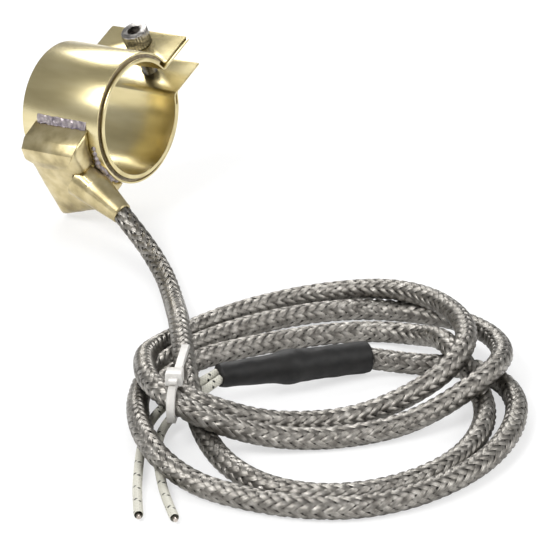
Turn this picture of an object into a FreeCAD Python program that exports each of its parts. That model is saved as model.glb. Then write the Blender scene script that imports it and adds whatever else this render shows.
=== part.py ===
import FreeCAD, Part
import math
import os
import Sketcher

# Nozzle band heater with a braided lead. Millimetres, +Z up.
# Origin: centre of the clamping bore. The bore runs along Y with its near end (-Y) tipped up.

V = FreeCAD.Vector
doc = FreeCAD.newDocument("band_heater")
dims = doc.addObject("Spreadsheet::Sheet", "Dims")

values = [
    ("bore_radius", 17.5, "nozzle diameter 35"),
    ("inner_sheet", 0.6, "brass sheet of the inner sleeve"),
    ("outer_sheet", 0.6, "brass sheet of the outer casing"),
    ("sleeve_length", 31.0, "inner sleeve, along the bore"),
    ("casing_length", 29.4, "outer casing, along the bore"),
    ("casing_inside", 19.8, "inside radius of the outer casing"),
    ("rim_radius", 18.8, "turned-out rim of the sleeve"),
    ("rim_width", 0.6, "rim, along the bore"),
    ("mica_length", 28.0, "mica and heating ribbon, along the bore"),
    ("mica_step", 18.65, "inner mica to mica core"),
    ("core_step", 19.05, "mica core to ribbon"),
    ("ribbon_step", 19.2, "ribbon to outer mica"),
    ("mica_gap", 7.2, "half of the mica's opening at the ears"),
    ("ear_gap", 4.8, "half of the gap between the ears"),
    ("ear_reach", 32.0, "ear tip from the bore axis"),
    ("ear_bend", 1.4, "outside bend at the ear root"),
    ("screw_reach", 26.0, "screw axis from the bore axis"),
    ("screw_radius", 2.45, "M5 shank"),
    ("screw_hole", 2.8, "clearance hole radius in the ears"),
    ("screw_end", 12.5, "screw end below the bore's centre plane"),
    ("head_radius", 4.4, "socket head"),
    ("head_height", 5.2, "socket head"),
    ("head_round", 0.5, "round of the head's top edge"),
    ("head_float", 0.05, "running gap under the head"),
    ("key_flat", 2.0, "half of the key size"),
    ("key_depth", 2.6, "key socket depth"),
    ("nut_flat", 4.0, "half of the nut's width across flats"),
    ("nut_height", 4.0, "nut"),
    ("nut_bore", 2.5, "thread radius in the nut"),
    ("ribbon_pitch", 20.0, "degrees between slots of the ribbon"),
    ("ribbon_slot", 1.6, "slot width"),
    ("ribbon_bridge", 3.0, "ribbon left at the end of a slot"),
    ("hood_width", 20.5, "hood, along the bore"),
    ("hood_shift", 0.95, "hood centre toward the near end"),
    ("hood_top", 11.2, "hood roof above the bore's level"),
    ("hood_face", 27.2, "outer face of the hood"),
    ("hood_brow", 23.6, "where the roof starts to turn down"),
    ("hood_bottom", 21.6, "lowest edge of the hood, which stands on the table"),
    ("hood_back", 14.0, "where the roof meets the casing"),
    ("brow_set", 0.7, "brow's first bend, back from the face"),
    ("brow_drop", 1.7, "brow's first bend, below the roof"),
    ("brow_depth", 5.7, "roof to the flat face"),
    ("hood_heel", 16.0, "where the bottom meets the casing"),
    ("heel_in", 14.8, "heel, inside the casing's curve"),
    ("heel_rise", 6.5, "heel above the bottom"),
    ("hood_rise", 7.6, "how far the bottom edge rises at the near side"),
    ("hood_round", 2.8, "rounded edges of the hood"),
    ("tongue_sheet", 0.5, "tongue sheet"),
    ("lip_radius", 13.05, "curved lip of the tongue"),
    ("lip_centre", 16.1, "lip's centre above the bore's level"),
    ("tongue_drop", 3.2, "lip of the tongue above the bore's level"),
    ("ferrule_length", 17.6, "tapered ferrule"),
    ("ferrule_wide", 6.2, "ferrule radius in the hood"),
    ("bead_toe", 17.6, "solder, out along the roof"),
    ("bead_rise", 2.3, "solder, up the casing"),
    ("ferrule_narrow", 3.3, "ferrule radius at the lead"),
    ("ferrule_wall", 0.5, "ferrule sheet"),
    ("ferrule_recess", 0.5, "ring gap round the ferrule in the hood"),
    ("lead_radius", 3.0, "braided lead"),
    ("coil_radius", 60.6, "outside of the turns on the table"),
    ("coil_hole", 28.5, "opening of the coil"),
    ("coil_top_radius", 50.0, "outside of the turns on top"),
    ("coil_x", -72.4, "middle of the turns on the table"),
    ("coil_y", -128.0, ""),
    ("top_x", -64.5, "middle of the turns on top"),
    ("top_y", -123.0, ""),
    ("hole_x", -66.7, "middle of the opening"),
    ("hole_y", -131.2, ""),
    ("coil_step", 9.5, "height of the turns on the table"),
    ("coil_height", 17.5, "height of the whole coil"),
    ("coil_round", 2.5, "rounded edges of the coil"),
    ("floor_drop", 32.6, "table below the bore centre"),
    ("sleeve_tube_length", 43.0, "end sleeve"),
    ("end_sleeve_radius", 3.8, "end sleeve over the braid"),
    ("end_sleeve_neck", 2.9, "end sleeve over the two wires"),
    ("wire_radius", 1.2, "glass-braided wire"),
    ("core_radius", 0.55, "stranded conductor"),
    ("core_length", 1.2, "bare conductor at the cut"),
    ("strap_width", 2.6, "cable tie strap"),
    ("strap_sheet", 1.1, "cable tie strap thickness"),
    ("tie_radius", 10.4, "outside of the closed strap"),
    ("tie_head", 5.2, "width of the square head"),
    ("tie_head_out", 15.0, "top of the head from the strap's middle"),
]
for row, (alias, value, note) in enumerate(values, 1):
    dims.set("A%d" % row, alias)
    dims.set("B%d" % row, str(value))
    dims.set("C%d" % row, note)
    dims.setAlias("B%d" % row, alias)
doc.recompute()


def size(alias):
    return float(dims.get(alias))


def new_body(label):
    body = doc.addObject("PartDesign::Body", label)
    body.Label = label
    return body


def new_sketch(body, role, shift=0.0):
    plane = [f for f in body.Origin.OriginFeatures if f.Role == role][0]
    sketch = body.newObject("Sketcher::SketchObject", body.Label + "_sketch")
    sketch.AttachmentSupport = [(plane, "")]
    sketch.MapMode = "FlatFace"
    if isinstance(shift, str):
        sketch.setExpression("AttachmentOffset.Base.z", shift)
    return sketch


def bind(sketch, kind, refs, text):
    number = sketch.evalExpression(text)
    index = sketch.addConstraint(Sketcher.Constraint(kind, *refs, float(number)))
    sketch.setExpression("Constraints[%d]" % index, text)


def outline(sketch, corners):
    points = [V(sketch.evalExpression(a), sketch.evalExpression(b), 0) for a, b in corners]
    first = sketch.GeometryCount
    count = len(points)
    for i, point in enumerate(points):
        sketch.addGeometry(Part.LineSegment(point, points[(i + 1) % count]))
    for i in range(count):
        sketch.addConstraint(Sketcher.Constraint("Coincident", first + i, 2, first + (i + 1) % count, 1))
    for i, (a, b) in enumerate(corners):
        bind(sketch, "DistanceX", (-1, 1, first + i, 1), a)
        bind(sketch, "DistanceY", (-1, 1, first + i, 1), b)


def circle(sketch, radius, x="0", y="0"):
    centre = V(sketch.evalExpression(x), sketch.evalExpression(y), 0)
    index = sketch.GeometryCount
    sketch.addGeometry(Part.Circle(centre, V(0, 0, 1), sketch.evalExpression(radius)))
    bind(sketch, "DistanceX", (-1, 1, index, 3), x)
    bind(sketch, "DistanceY", (-1, 1, index, 3), y)
    bind(sketch, "Radius", (index,), radius)


def hexagon(sketch, flat):
    reach = "%s * 2 / sqrt(3)" % flat
    corners = []
    for i in range(6):
        corners.append(("%s * cos(%d)" % (reach, 60 * i + 30), "%s * sin(%d)" % (reach, 60 * i + 30)))
    outline(sketch, corners)


def pad(sketch, length, both=True, back=False):
    body = sketch.getParentGeoFeatureGroup()
    feature = body.newObject("PartDesign::Pad", body.Label + "_pad")
    feature.Profile = sketch
    feature.SideType = "Symmetric" if both else "One side"
    feature.Reversed = back
    feature.setExpression("Length", length)
    doc.recompute()
    return feature


def pocket(sketch, length, both=True, back=False):
    body = sketch.getParentGeoFeatureGroup()
    before = body.Shape.Volume
    feature = body.newObject("PartDesign::Pocket", body.Label + "_pocket")
    feature.Profile = sketch
    feature.SideType = "Symmetric" if both else "One side"
    feature.Reversed = back
    feature.setExpression("Length", length)
    doc.recompute()
    if body.Shape.Volume > before - 0.01:
        raise RuntimeError("a pocket of %s cuts nothing" % body.Label)
    return feature


def revolve(body, sketch, axis="Y_Axis"):
    feature = body.newObject("PartDesign::Revolution", body.Label + "_revolution")
    feature.Profile = sketch
    line = [f for f in body.Origin.OriginFeatures if f.Role == axis][0]
    feature.ReferenceAxis = (line, [""])
    feature.Angle = 360
    doc.recompute()
    return feature


def fillet(body, radius, wanted):
    base = body.Tip
    names = []
    for i, edge in enumerate(base.Shape.Edges, 1):
        if wanted(edge):
            names.append("Edge%d" % i)
    feature = body.newObject("PartDesign::Fillet", body.Label + "_fillet")
    feature.Base = (base, names)
    feature.setExpression("Radius", radius)
    doc.recompute()
    return feature


def lies_along(edge, axis):
    if not isinstance(edge.Curve, Part.Line):
        return False
    return abs(edge.Curve.Direction.dot(axis)) > 0.999


def near_line(edge, x, z):
    mid = edge.valueAt((edge.FirstParameter + edge.LastParameter) / 2)
    return math.hypot(mid.x - x, mid.z - z) < 0.25


# Frames: everything on the band shares the tipped bore axis.
near_end_up = FreeCAD.Rotation(V(1, 0, 0), -4.0)
ear_turn = near_end_up * FreeCAD.Rotation(V(0, 1, 0), -24.5)       # local X runs out along the ears
hood_turn = near_end_up * FreeCAD.Rotation(V(0, 1, 0), 150.75)     # local X out of the hood, Z down it
ear_frame = FreeCAD.Placement(V(0, 0, 0), ear_turn)
hood_frame = FreeCAD.Placement(V(0, 0, 0), hood_turn)
screw_frame = FreeCAD.Placement(ear_turn.multVec(V(size("screw_reach"), 0, 0)), ear_turn)


def band_sheet(label, inside, sheet, ear_inside, length):
    """One sheet of the band: a split ring whose two ends turn out into parallel ears."""
    outside = "(%s + %s)" % (inside, sheet)
    ear_outside = "(%s + %s)" % (ear_inside, sheet)
    body = new_body(label)
    ring = new_sketch(body, "XZ_Plane")
    circle(ring, inside)
    circle(ring, outside)
    pad(ring, length)
    ears = new_sketch(body, "XZ_Plane")
    root = "(sqrt(%s^2 - %s^2) + %s / 2)" % (inside, ear_outside, sheet)
    tip = "Dims.ear_reach"
    for sign in ("", "-"):
        near_gap, far_side = sign + ear_inside, sign + ear_outside
        outline(ears, [(root, near_gap), (tip, near_gap), (tip, far_side), (root, far_side)])
    pad(ears, length)
    split = new_sketch(body, "XZ_Plane")
    outline(split, [("5", "-" + ear_inside), ("40", "-" + ear_inside), ("40", ear_inside), ("5", ear_inside)])
    pocket(split, "Dims.sleeve_length + 2")
    holes = new_sketch(body, "XY_Plane")
    circle(holes, "Dims.screw_hole", "Dims.screw_reach", "0")
    pocket(holes, "30")
    inner, outer = body.evalExpression(ear_inside), body.evalExpression(ear_outside)
    r_in, r_out = body.evalExpression(inside), body.evalExpression(outside)
    hollow = math.sqrt(r_out ** 2 - outer ** 2)
    nose = math.sqrt(r_in ** 2 - inner ** 2)
    along = V(0, 1, 0)
    fillet(body, "Dims.ear_bend", lambda e: lies_along(e, along)
           and (near_line(e, hollow, outer) or near_line(e, hollow, -outer)))
    fillet(body, "Dims.ear_bend + " + sheet, lambda e: lies_along(e, along)
           and (near_line(e, nose, inner) or near_line(e, nose, -inner)))
    return body


def split_ring(label, inside, outside, length):
    """A layer between the sheets: a ring left open where the ears are."""
    body = new_body(label)
    ring = new_sketch(body, "XZ_Plane")
    circle(ring, inside)
    circle(ring, outside)
    pad(ring, length)
    split = new_sketch(body, "XZ_Plane")
    gap = "Dims.mica_gap"
    outline(split, [("5", "-" + gap), ("40", "-" + gap), ("40", gap), ("5", gap)])
    pocket(split, length + " + 2")
    body.Placement = ear_frame
    return body


# Inner sleeve: brass, with a turned-out rim at both ends.
inner_inside = "Dims.bore_radius"
inner_sleeve = band_sheet("inner_sleeve", inner_inside, "Dims.inner_sheet", "Dims.ear_gap",
                          "Dims.sleeve_length")
for side in ("-", ""):
    rim = new_sketch(inner_sleeve, "XZ_Plane", side + "(Dims.sleeve_length - Dims.rim_width) / 2")
    start, stop = math.radians(27), math.radians(333)
    mid_radius = "(Dims.bore_radius + Dims.inner_sheet / 2)"
    for radius in (mid_radius, "Dims.rim_radius"):
        arc = Part.ArcOfCircle(Part.Circle(V(0, 0, 0), V(0, 0, 1), rim.evalExpression(radius)), start, stop)
        index = rim.GeometryCount
        rim.addGeometry(arc)
        rim.addConstraint(Sketcher.Constraint("Coincident", index, 3, -1, 1))
        bind(rim, "Radius", (index,), radius)
    for end, angle in ((1, start), (2, stop)):
        a = rim.getPoint(0, end)
        b = rim.getPoint(1, end)
        index = rim.GeometryCount
        rim.addGeometry(Part.LineSegment(a, b))
        rim.addConstraint(Sketcher.Constraint("Coincident", index, 1, 0, end))
        rim.addConstraint(Sketcher.Constraint("Coincident", index, 2, 1, end))
        rim.addConstraint(Sketcher.Constraint("Angle", index, angle))
    pad(rim, "Dims.rim_width")
inner_sleeve.Placement = ear_frame

# Outer casing: a second sheet, shorter by the set-back at each end.
outer_casing = band_sheet("outer_casing", "Dims.casing_inside", "Dims.outer_sheet",
                          "(Dims.ear_gap + Dims.inner_sheet)", "Dims.casing_length")
outer_casing.Placement = ear_frame

# Mica, heating ribbon and mica again, pressed between the two sheets.
sleeve_outside = "(Dims.bore_radius + Dims.inner_sheet)"
split_ring("mica_inner", sleeve_outside, "Dims.mica_step", "Dims.mica_length")
split_ring("mica_core", "Dims.mica_step", "Dims.core_step", "Dims.mica_length")
split_ring("mica_outer", "Dims.ribbon_step", "Dims.casing_inside", "Dims.mica_length")

# Heating ribbon: one flat strip to and fro along the bore, cut from a ring by slots from both ends.
ribbon = split_ring("heating_ribbon", "Dims.core_step", "Dims.ribbon_step", "(Dims.mica_length - 2)")
for side, first, count in (("", 40.0, 15), ("-", 50.0, 14)):
    slot = new_sketch(ribbon, "XY_Plane")
    slot.AttachmentOffset = FreeCAD.Placement(V(0, 0, 0), FreeCAD.Rotation(V(0, 1, 0), -first))
    far = side + "(Dims.mica_length / 2 - Dims.ribbon_bridge - 1)"
    edge = ("-" if side == "" else "") + "(Dims.mica_length / 2 + 1)"
    outline(slot, [("15", far), ("20", far), ("20", edge), ("15", edge)])
    cut = pocket(slot, "Dims.ribbon_slot")
    turns = ribbon.newObject("PartDesign::PolarPattern", "ribbon_slots")
    turns.Originals = [cut]
    turns.Axis = ([f for f in ribbon.Origin.OriginFeatures if f.Role == "Y_Axis"][0], [""])
    turns.Reversed = True
    turns.setExpression("Angle", "Dims.ribbon_pitch * %d" % (count - 1))
    turns.Occurrences = count
    ribbon.Tip = turns
    doc.recompute()

# Clamp screw: M5 socket head, turning in the nut under the lower ear.
screw = new_body("clamp_screw")
seat = "(Dims.ear_gap + Dims.inner_sheet + Dims.outer_sheet + Dims.head_float)"
head = new_sketch(screw, "XY_Plane", seat)
circle(head, "Dims.head_radius")
pad(head, "Dims.head_height", both=False)
top = size("ear_gap") + size("inner_sheet") + size("outer_sheet") + size("head_float") + size("head_height")
fillet(screw, "Dims.head_round", lambda e: e.Length > 20 and abs(e.CenterOfMass.z - top) < 0.01)
key = new_sketch(screw, "XY_Plane", seat + " + Dims.head_height")
hexagon(key, "Dims.key_flat")
pocket(key, "Dims.key_depth", both=False)
shank = new_sketch(screw, "XY_Plane", seat)
circle(shank, "Dims.screw_radius")
pad(shank, seat + " + Dims.screw_end", both=False, back=True)
screw.Placement = screw_frame

# Clamp nut, fixed to the outside of the lower ear.
nut = new_body("clamp_nut")
nut_face = new_sketch(nut, "XY_Plane", "-(Dims.ear_gap + Dims.inner_sheet + Dims.outer_sheet)")
hexagon(nut_face, "Dims.nut_flat")
circle(nut_face, "Dims.nut_bore")
pad(nut_face, "Dims.nut_height", both=False, back=True)
nut.Placement = screw_frame

# The lead's ferrule: a tapered, rolled brass sleeve at the hood's near lower corner.
# Its wide end is trimmed to sit on the casing.
ferrule_start = V(-19.1, -7.5, -14.3)
lead_start = V(-20.4, -23.4, -21.8)
ferrule_line = lead_start - ferrule_start
ferrule_line.normalize()
ferrule_turn = FreeCAD.Rotation(V(0, 0, 1), ferrule_line)
ferrule_cone = new_body("ferrule_cone")
cone = new_sketch(ferrule_cone, "XZ_Plane")
long = "Dims.ferrule_length"
wall = "Dims.ferrule_wall"
outline(cone, [("Dims.ferrule_wide - " + wall, "0"), ("Dims.ferrule_wide", "0"),
               ("Dims.ferrule_narrow", long), ("Dims.ferrule_narrow - " + wall, long)])
revolve(ferrule_cone, cone, "Z_Axis")
ferrule_cone.Placement = FreeCAD.Placement(lead_start - ferrule_line * size("ferrule_length"), ferrule_turn)
casing_room = doc.addObject("Part::Cylinder", "casing_room")
casing_room.setExpression("Radius", "Dims.casing_inside + Dims.outer_sheet")
casing_room.setExpression("Height", "Dims.sleeve_length")
along_bore = near_end_up * FreeCAD.Rotation(V(1, 0, 0), 90)
half_sleeve = V(0, 0, -size("sleeve_length") / 2)
casing_room.Placement = FreeCAD.Placement(along_bore.multVec(half_sleeve), along_bore)
ferrule = doc.addObject("Part::Cut", "lead_ferrule")
ferrule.Label = "lead_ferrule"
ferrule.Base = ferrule_cone
ferrule.Tool = casing_room

# Lead hood: bent brass box on the casing's lower left, closed, with a ring-shaped recess round the ferrule.
hood_block = new_body("hood_block")
side_view = new_sketch(hood_block, "XZ_Plane", "Dims.hood_shift")
top_s = "-Dims.hood_top"
face = "Dims.hood_face"
brow = [("Dims.hood_back", top_s), ("Dims.hood_brow", top_s),
        (face + " - Dims.brow_set", top_s + " + Dims.brow_drop"), (face, top_s + " + Dims.brow_depth")]
outline(side_view, brow + [(face, "Dims.hood_bottom"), ("Dims.hood_heel", "Dims.hood_bottom"),
                           ("Dims.heel_in", "Dims.hood_bottom - Dims.heel_rise")])
pad(side_view, "Dims.hood_width")
lower_edge = new_sketch(hood_block, "YZ_Plane")
near_y = "-(Dims.hood_width / 2 + Dims.hood_shift)"
far_y = "(Dims.hood_width / 2 - Dims.hood_shift)"
outline(lower_edge, [(far_y, "Dims.hood_bottom"), (near_y + " - 1", "Dims.hood_bottom - Dims.hood_rise"),
                     (near_y + " - 1", "Dims.hood_bottom + 5"), (far_y, "Dims.hood_bottom + 5")])
pocket(lower_edge, "80")
seat_cut = new_sketch(hood_block, "XZ_Plane")
circle(seat_cut, "Dims.casing_inside + Dims.outer_sheet")
pocket(seat_cut, "60")
face_x = size("hood_face")


def on_front(edge):
    box = edge.BoundBox
    return box.XMin > face_x - 0.05 and box.ZMax > 8


fillet(hood_block, "Dims.hood_round", on_front)
hood_block.Placement = hood_frame
recess = doc.addObject("Part::Cone", "hood_recess")
recess.setExpression("Radius1", "Dims.ferrule_wide + Dims.ferrule_recess")
recess.setExpression("Radius2", "Dims.ferrule_narrow + Dims.ferrule_recess")
recess.setExpression("Height", "Dims.ferrule_length")
recess.Placement = ferrule_cone.Placement
hood = doc.addObject("Part::Cut", "lead_hood")
hood.Label = "lead_hood"
hood.Base = hood_block
hood.Tool = recess

# Hood tongue: a second sheet lapped over the hood's roof and brow, its lip cut to a curve.
tongue_block = new_body("tongue_block")
lap = new_sketch(tongue_block, "XZ_Plane", "Dims.hood_shift")
sheet = "Dims.tongue_sheet"
tongue_end = "-Dims.tongue_drop + 1"
outline(lap, brow + [(face, tongue_end), (face + " + " + sheet, tongue_end),
                     (face + " + " + sheet, top_s + " + Dims.brow_depth - 0.1"),
                     (face + " - Dims.brow_set + 0.4", top_s + " + Dims.brow_drop - 0.3"),
                     ("Dims.hood_brow + 0.2", top_s + " - " + sheet),
                     ("Dims.hood_back", top_s + " - " + sheet)])
pad(lap, "Dims.hood_width")
tongue_seat = new_sketch(tongue_block, "XZ_Plane")
circle(tongue_seat, "Dims.casing_inside + Dims.outer_sheet")
pocket(tongue_seat, "60")
tongue_block.Placement = hood_frame
lip = doc.addObject("Part::Cylinder", "tongue_lip")
lip.setExpression("Radius", "Dims.lip_radius")
lip.Height = 60
lip_turn = hood_turn * FreeCAD.Rotation(V(0, 1, 0), 90)
lip.Placement = FreeCAD.Placement(hood_turn.multVec(V(0, 1.0, -size("lip_centre"))), lip_turn)
tongue = doc.addObject("Part::Common", "hood_tongue")
tongue.Label = "hood_tongue"
tongue.Base = tongue_block
tongue.Tool = lip

# Solder: a fillet along the tongue's top edge, and a bead between ferrule and rim.
bead = new_body("hood_solder")
bead_side = new_sketch(bead, "XZ_Plane", "Dims.hood_shift")
bead_top = top_s + " - Dims.bead_rise"
outline(bead_side, [("Dims.hood_back", top_s + " - " + sheet), ("Dims.bead_toe", top_s + " - " + sheet),
                    ("Dims.bead_toe - 2.2", bead_top), ("Dims.hood_back - 0.4", bead_top)])
pad(bead_side, "Dims.hood_width - 1.4")
bead_seat = new_sketch(bead, "XZ_Plane")
circle(bead_seat, "Dims.casing_inside + Dims.outer_sheet")
pocket(bead_seat, "60")
bead.Placement = hood_frame


def cord_path(points):
    """Straight runs joined by tangent arcs; every arc takes 0.45 of its shorter run."""
    edges = []
    start = points[0]
    for i in range(1, len(points) - 1):
        before = points[i] - points[i - 1]
        after = points[i + 1] - points[i]
        turn = before.getAngle(after)
        cut = 0.45 * min(before.Length, after.Length)
        radius = cut / math.tan(turn / 2)
        a = points[i] - before.normalize() * cut
        b = points[i] + after.normalize() * cut
        toward = (a + b) * 0.5 - points[i]
        toward.normalize()
        middle = points[i] + toward * (radius / math.cos(turn / 2) - radius)
        edges.append(Part.LineSegment(start, a).toShape())
        edges.append(Part.Arc(a, middle, b).toShape())
        start = b
        print("cord radius %.1f" % radius)
    edges.append(Part.LineSegment(start, points[-1]).toShape())
    return Part.Wire(edges)


def cord(label, points, radius):
    path = cord_path(points)
    first = points[1] - points[0]
    section = Part.Wire([Part.Circle(points[0], first, radius).toShape()])
    tube = path.makePipeShell([section], True, False)
    wanted = math.pi * radius ** 2 * path.Length
    if abs(tube.Volume - wanted) > 0.01 * wanted:
        raise RuntimeError("%s has volume %.0f, not %.0f" % (label, tube.Volume, wanted))
    feature = doc.addObject("Part::Feature", label)
    feature.Label = label
    feature.Shape = tube
    feature.Placement = FreeCAD.Placement()
    print("%s length %.1f" % (label, path.Length))
    return feature


# Lead: braided, from the ferrule down into the coil.
lead_route = [
    lead_start,
    V(-22.6, -30.6, -25.4),
    V(-26.0, -38.0, -28.0),
    V(-31.0, -45.4, -29.4),
    V(-38.0, -53.6, -29.4),
    V(-46.3, -62.2, -29.2),
    V(-55.5, -70.4, -28.0),
    V(-64.7, -78.1, -26.0),
]
cord("lead", lead_route, size("lead_radius"))

# Coil: the outer shape of four loose turns, which lie on the table and cross at its ends.
coil = new_body("lead_coil")
lower = new_sketch(coil, "XY_Plane")
circle(lower, "Dims.coil_radius", "Dims.coil_x", "Dims.coil_y")
circle(lower, "Dims.coil_hole", "Dims.hole_x", "Dims.hole_y")
pad(lower, "Dims.coil_step", both=False)
upper = new_sketch(coil, "XY_Plane", "Dims.coil_step")
circle(upper, "Dims.coil_top_radius", "Dims.top_x", "Dims.top_y")
circle(upper, "Dims.coil_hole", "Dims.hole_x", "Dims.hole_y")
pad(upper, "Dims.coil_height - Dims.coil_step", both=False)
coil_top = size("coil_height")
fillet(coil, "Dims.coil_round", lambda e: abs(e.BoundBox.ZMin - coil_top) < 0.01 and e.BoundBox.XLength > 80)
coil.Placement = FreeCAD.Placement(V(0, 0, -size("floor_drop")), FreeCAD.Rotation())

# The lead's last run, out of the coil to the end sleeve.
sleeve_right = V(-50.2, -129.8, -27.8)
sleeve_left = V(-87.7, -107.8, -24.2)
last_route = [
    V(-40.3, -145.8, -29.4),
    V(-43.1, -139.2, -29.2),
    V(-46.3, -134.1, -28.6),
    sleeve_right,
]
cord("lead_end", last_route, size("lead_radius"))

# End sleeve: heat-shrink over the braid's cut end and the two wires.
sleeve = new_body("end_sleeve")
profile = new_sketch(sleeve, "XZ_Plane")
tube = "Dims.sleeve_tube_length"
full = "Dims.end_sleeve_radius"
outline(profile, [("0", "0"), (full, "0"), (full, tube + " * 0.38"), (full + " + 0.35", tube + " * 0.44"),
                  (full + " + 0.35", tube + " * 0.56"), ("Dims.end_sleeve_neck + 0.2", tube + " * 0.72"),
                  ("Dims.end_sleeve_neck", tube), ("0", tube)])
revolve(sleeve, profile, "Z_Axis")
sleeve_line = sleeve_left - sleeve_right
sleeve_line.normalize()
sleeve.Placement = FreeCAD.Placement(sleeve_right, FreeCAD.Rotation(V(0, 0, 1), sleeve_line))
neck = sleeve_right + sleeve_line * size("sleeve_tube_length")

# Tail wires: two glass-braided wires with cut ends.
tails = {
    "tail_wire_left": [
        neck + V(0.6, 1.0, 0.3),
        V(-95.7, -103.4, -26.4),
        V(-104.2, -101.8, -28.4),
        V(-113.3, -103.8, -29.7),
        V(-122.2, -108.8, -30.7),
        V(-130.7, -114.6, -31.2),
        V(-139.3, -120.8, -31.3),
        V(-147.6, -127.8, -31.3),
    ],
    "tail_wire_right": [
        neck + V(-0.7, -1.2, -0.3),
        V(-96.3, -106.6, -27.4),
        V(-104.6, -105.6, -29.4),
        V(-113.1, -107.8, -30.7),
        V(-121.3, -113.4, -31.3),
        V(-129.0, -120.2, -31.3),
        V(-136.9, -127.8, -31.3),
        V(-143.7, -135.8, -31.3),
    ],
}
for label, route in tails.items():
    cord(label, route, size("wire_radius"))
    tip_line = route[-1] - route[-2]
    tip_line.normalize()
    core = doc.addObject("Part::Cylinder", label.replace("wire", "core"))
    core.Label = label.replace("wire", "core")
    core.setExpression("Radius", "Dims.core_radius")
    core.setExpression("Height", "Dims.core_length")
    core.Placement = FreeCAD.Placement(route[-1], FreeCAD.Rotation(V(0, 0, 1), tip_line))

# Cable tie: strap round the coil's left side, with its square head.
tie = new_body("cable_tie")
loop = new_sketch(tie, "XZ_Plane")
circle(loop, "Dims.tie_radius")
circle(loop, "Dims.tie_radius - Dims.strap_sheet")
pad(loop, "Dims.strap_width")
head_view = new_sketch(tie, "XZ_Plane")
head_in, head_out, half_head = "Dims.tie_radius - 0.8", "Dims.tie_head_out", "Dims.tie_head / 2"
outline(head_view, [(head_in, "-" + half_head), (head_out, "-" + half_head),
                    (head_out, half_head), (head_in, half_head)])
pad(head_view, "Dims.tie_head")
tie.Placement = FreeCAD.Placement(V(-97.7, -103.2, -21.4),
                                  FreeCAD.Rotation(V(0, 0, 1), 30) * FreeCAD.Rotation(V(0, 1, 0), 205))

doc.recompute()
helpers = [ferrule_cone, casing_room, hood_block, tongue_block, recess, lip]
kinds = ("PartDesign::Body", "Part::Feature", "Part::Cut", "Part::Common", "Part::Cylinder")
nodes = [o for o in doc.Objects if o.TypeId in kinds and o not in helpers]
for thing in doc.Objects:
    if "Invalid" in thing.State or "Error" in thing.State:
        raise RuntimeError("%s did not recompute" % thing.Label)
for node in nodes:
    if node.Shape.isNull() or not node.Shape.isValid() or len(node.Shape.Solids) != 1:
        raise RuntimeError("%s is not one valid solid" % node.Label)

os.makedirs("parts", exist_ok=True)
for node in nodes:
    node.Shape.exportStep("parts/%s.step" % node.Label)
    box = node.Shape.BoundBox
    print("%-16s volume %8.0f  z %.1f to %.1f" % (node.Label, node.Shape.Volume, box.ZMin, box.ZMax))
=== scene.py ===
import math
import bpy
import numpy as np
from mathutils import Matrix, Vector


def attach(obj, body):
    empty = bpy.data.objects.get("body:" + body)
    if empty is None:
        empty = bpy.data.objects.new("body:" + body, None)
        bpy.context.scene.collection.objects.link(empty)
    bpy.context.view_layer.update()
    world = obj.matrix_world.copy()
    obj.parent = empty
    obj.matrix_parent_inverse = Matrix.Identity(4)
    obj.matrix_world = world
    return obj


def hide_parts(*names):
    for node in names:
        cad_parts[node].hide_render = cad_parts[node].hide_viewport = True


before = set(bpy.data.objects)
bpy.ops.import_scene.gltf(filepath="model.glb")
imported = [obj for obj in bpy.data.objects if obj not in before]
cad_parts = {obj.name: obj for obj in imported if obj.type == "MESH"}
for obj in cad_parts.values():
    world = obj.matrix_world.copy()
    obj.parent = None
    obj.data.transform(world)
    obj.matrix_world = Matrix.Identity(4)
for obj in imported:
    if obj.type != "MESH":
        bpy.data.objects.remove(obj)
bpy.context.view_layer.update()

print("stage: frame loaded,", len(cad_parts), "nodes")


# Camera, room and light

cameraSetup = {
    "place": (-0.5445, -0.4434, 0.2639),
    "turn": (65.5, 0.0, -55.2),   # degrees
    "lens": 158.24,
    "floorHeight": -0.0326,
    "skyStrength": 0.55,
    "floorWhite": 0.62,           # share of plain white that the camera sees in the floor
}
cameraData = bpy.data.cameras.new("camera")
cameraData.lens = cameraSetup["lens"]
cameraData.sensor_width = 36
cameraData.clip_start = 0.05
cameraData.clip_end = 20
camera = bpy.data.objects.new("camera", cameraData)
camera.location = cameraSetup["place"]
camera.rotation_euler = [math.radians(a) for a in cameraSetup["turn"]]
bpy.context.collection.objects.link(camera)
bpy.context.scene.camera = camera
bpy.context.scene.view_settings.view_transform = "Standard"


def srgb(text):
    parts = [int(text[i:i + 2], 16) / 255 for i in (1, 3, 5)]
    linear = [c / 12.92 if c <= 0.04045 else ((c + 0.055) / 1.055) ** 2.4 for c in parts]
    return (*linear, 1.0)


def addNode(tree, kind, settings=None, inputs=None, links=None):
    # settings: the node's own options, inputs: socket values, links: socket -> (node, output)
    node = tree.nodes.new(kind)
    for key, value in (settings or {}).items():
        setattr(node, key, value)
    for key, value in (inputs or {}).items():
        node.inputs[key].default_value = value
    for key, (source, output) in (links or {}).items():
        tree.links.new(source.outputs[output], node.inputs[key])
    return node


def newMaterial(name, surface):
    material = bpy.data.materials.new(name)
    material.use_nodes = True
    tree = material.node_tree
    shader = tree.nodes["Principled BSDF"]
    for key, value in surface.items():
        shader.inputs[key].default_value = value
    return material, tree, shader


def ramp(tree, source, output, stops):
    node = addNode(tree, "ShaderNodeValToRGB", links={"Fac": (source, output)})
    node.color_ramp.elements[0].position, node.color_ramp.elements[1].position = stops[0][0], stops[-1][0]
    node.color_ramp.elements[0].color, node.color_ramp.elements[1].color = stops[0][1], stops[-1][1]
    for place, colour in stops[1:-1]:
        node.color_ramp.elements.new(place).color = colour
    return node


def grey(level):
    return (level, level, level, 1)


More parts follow.
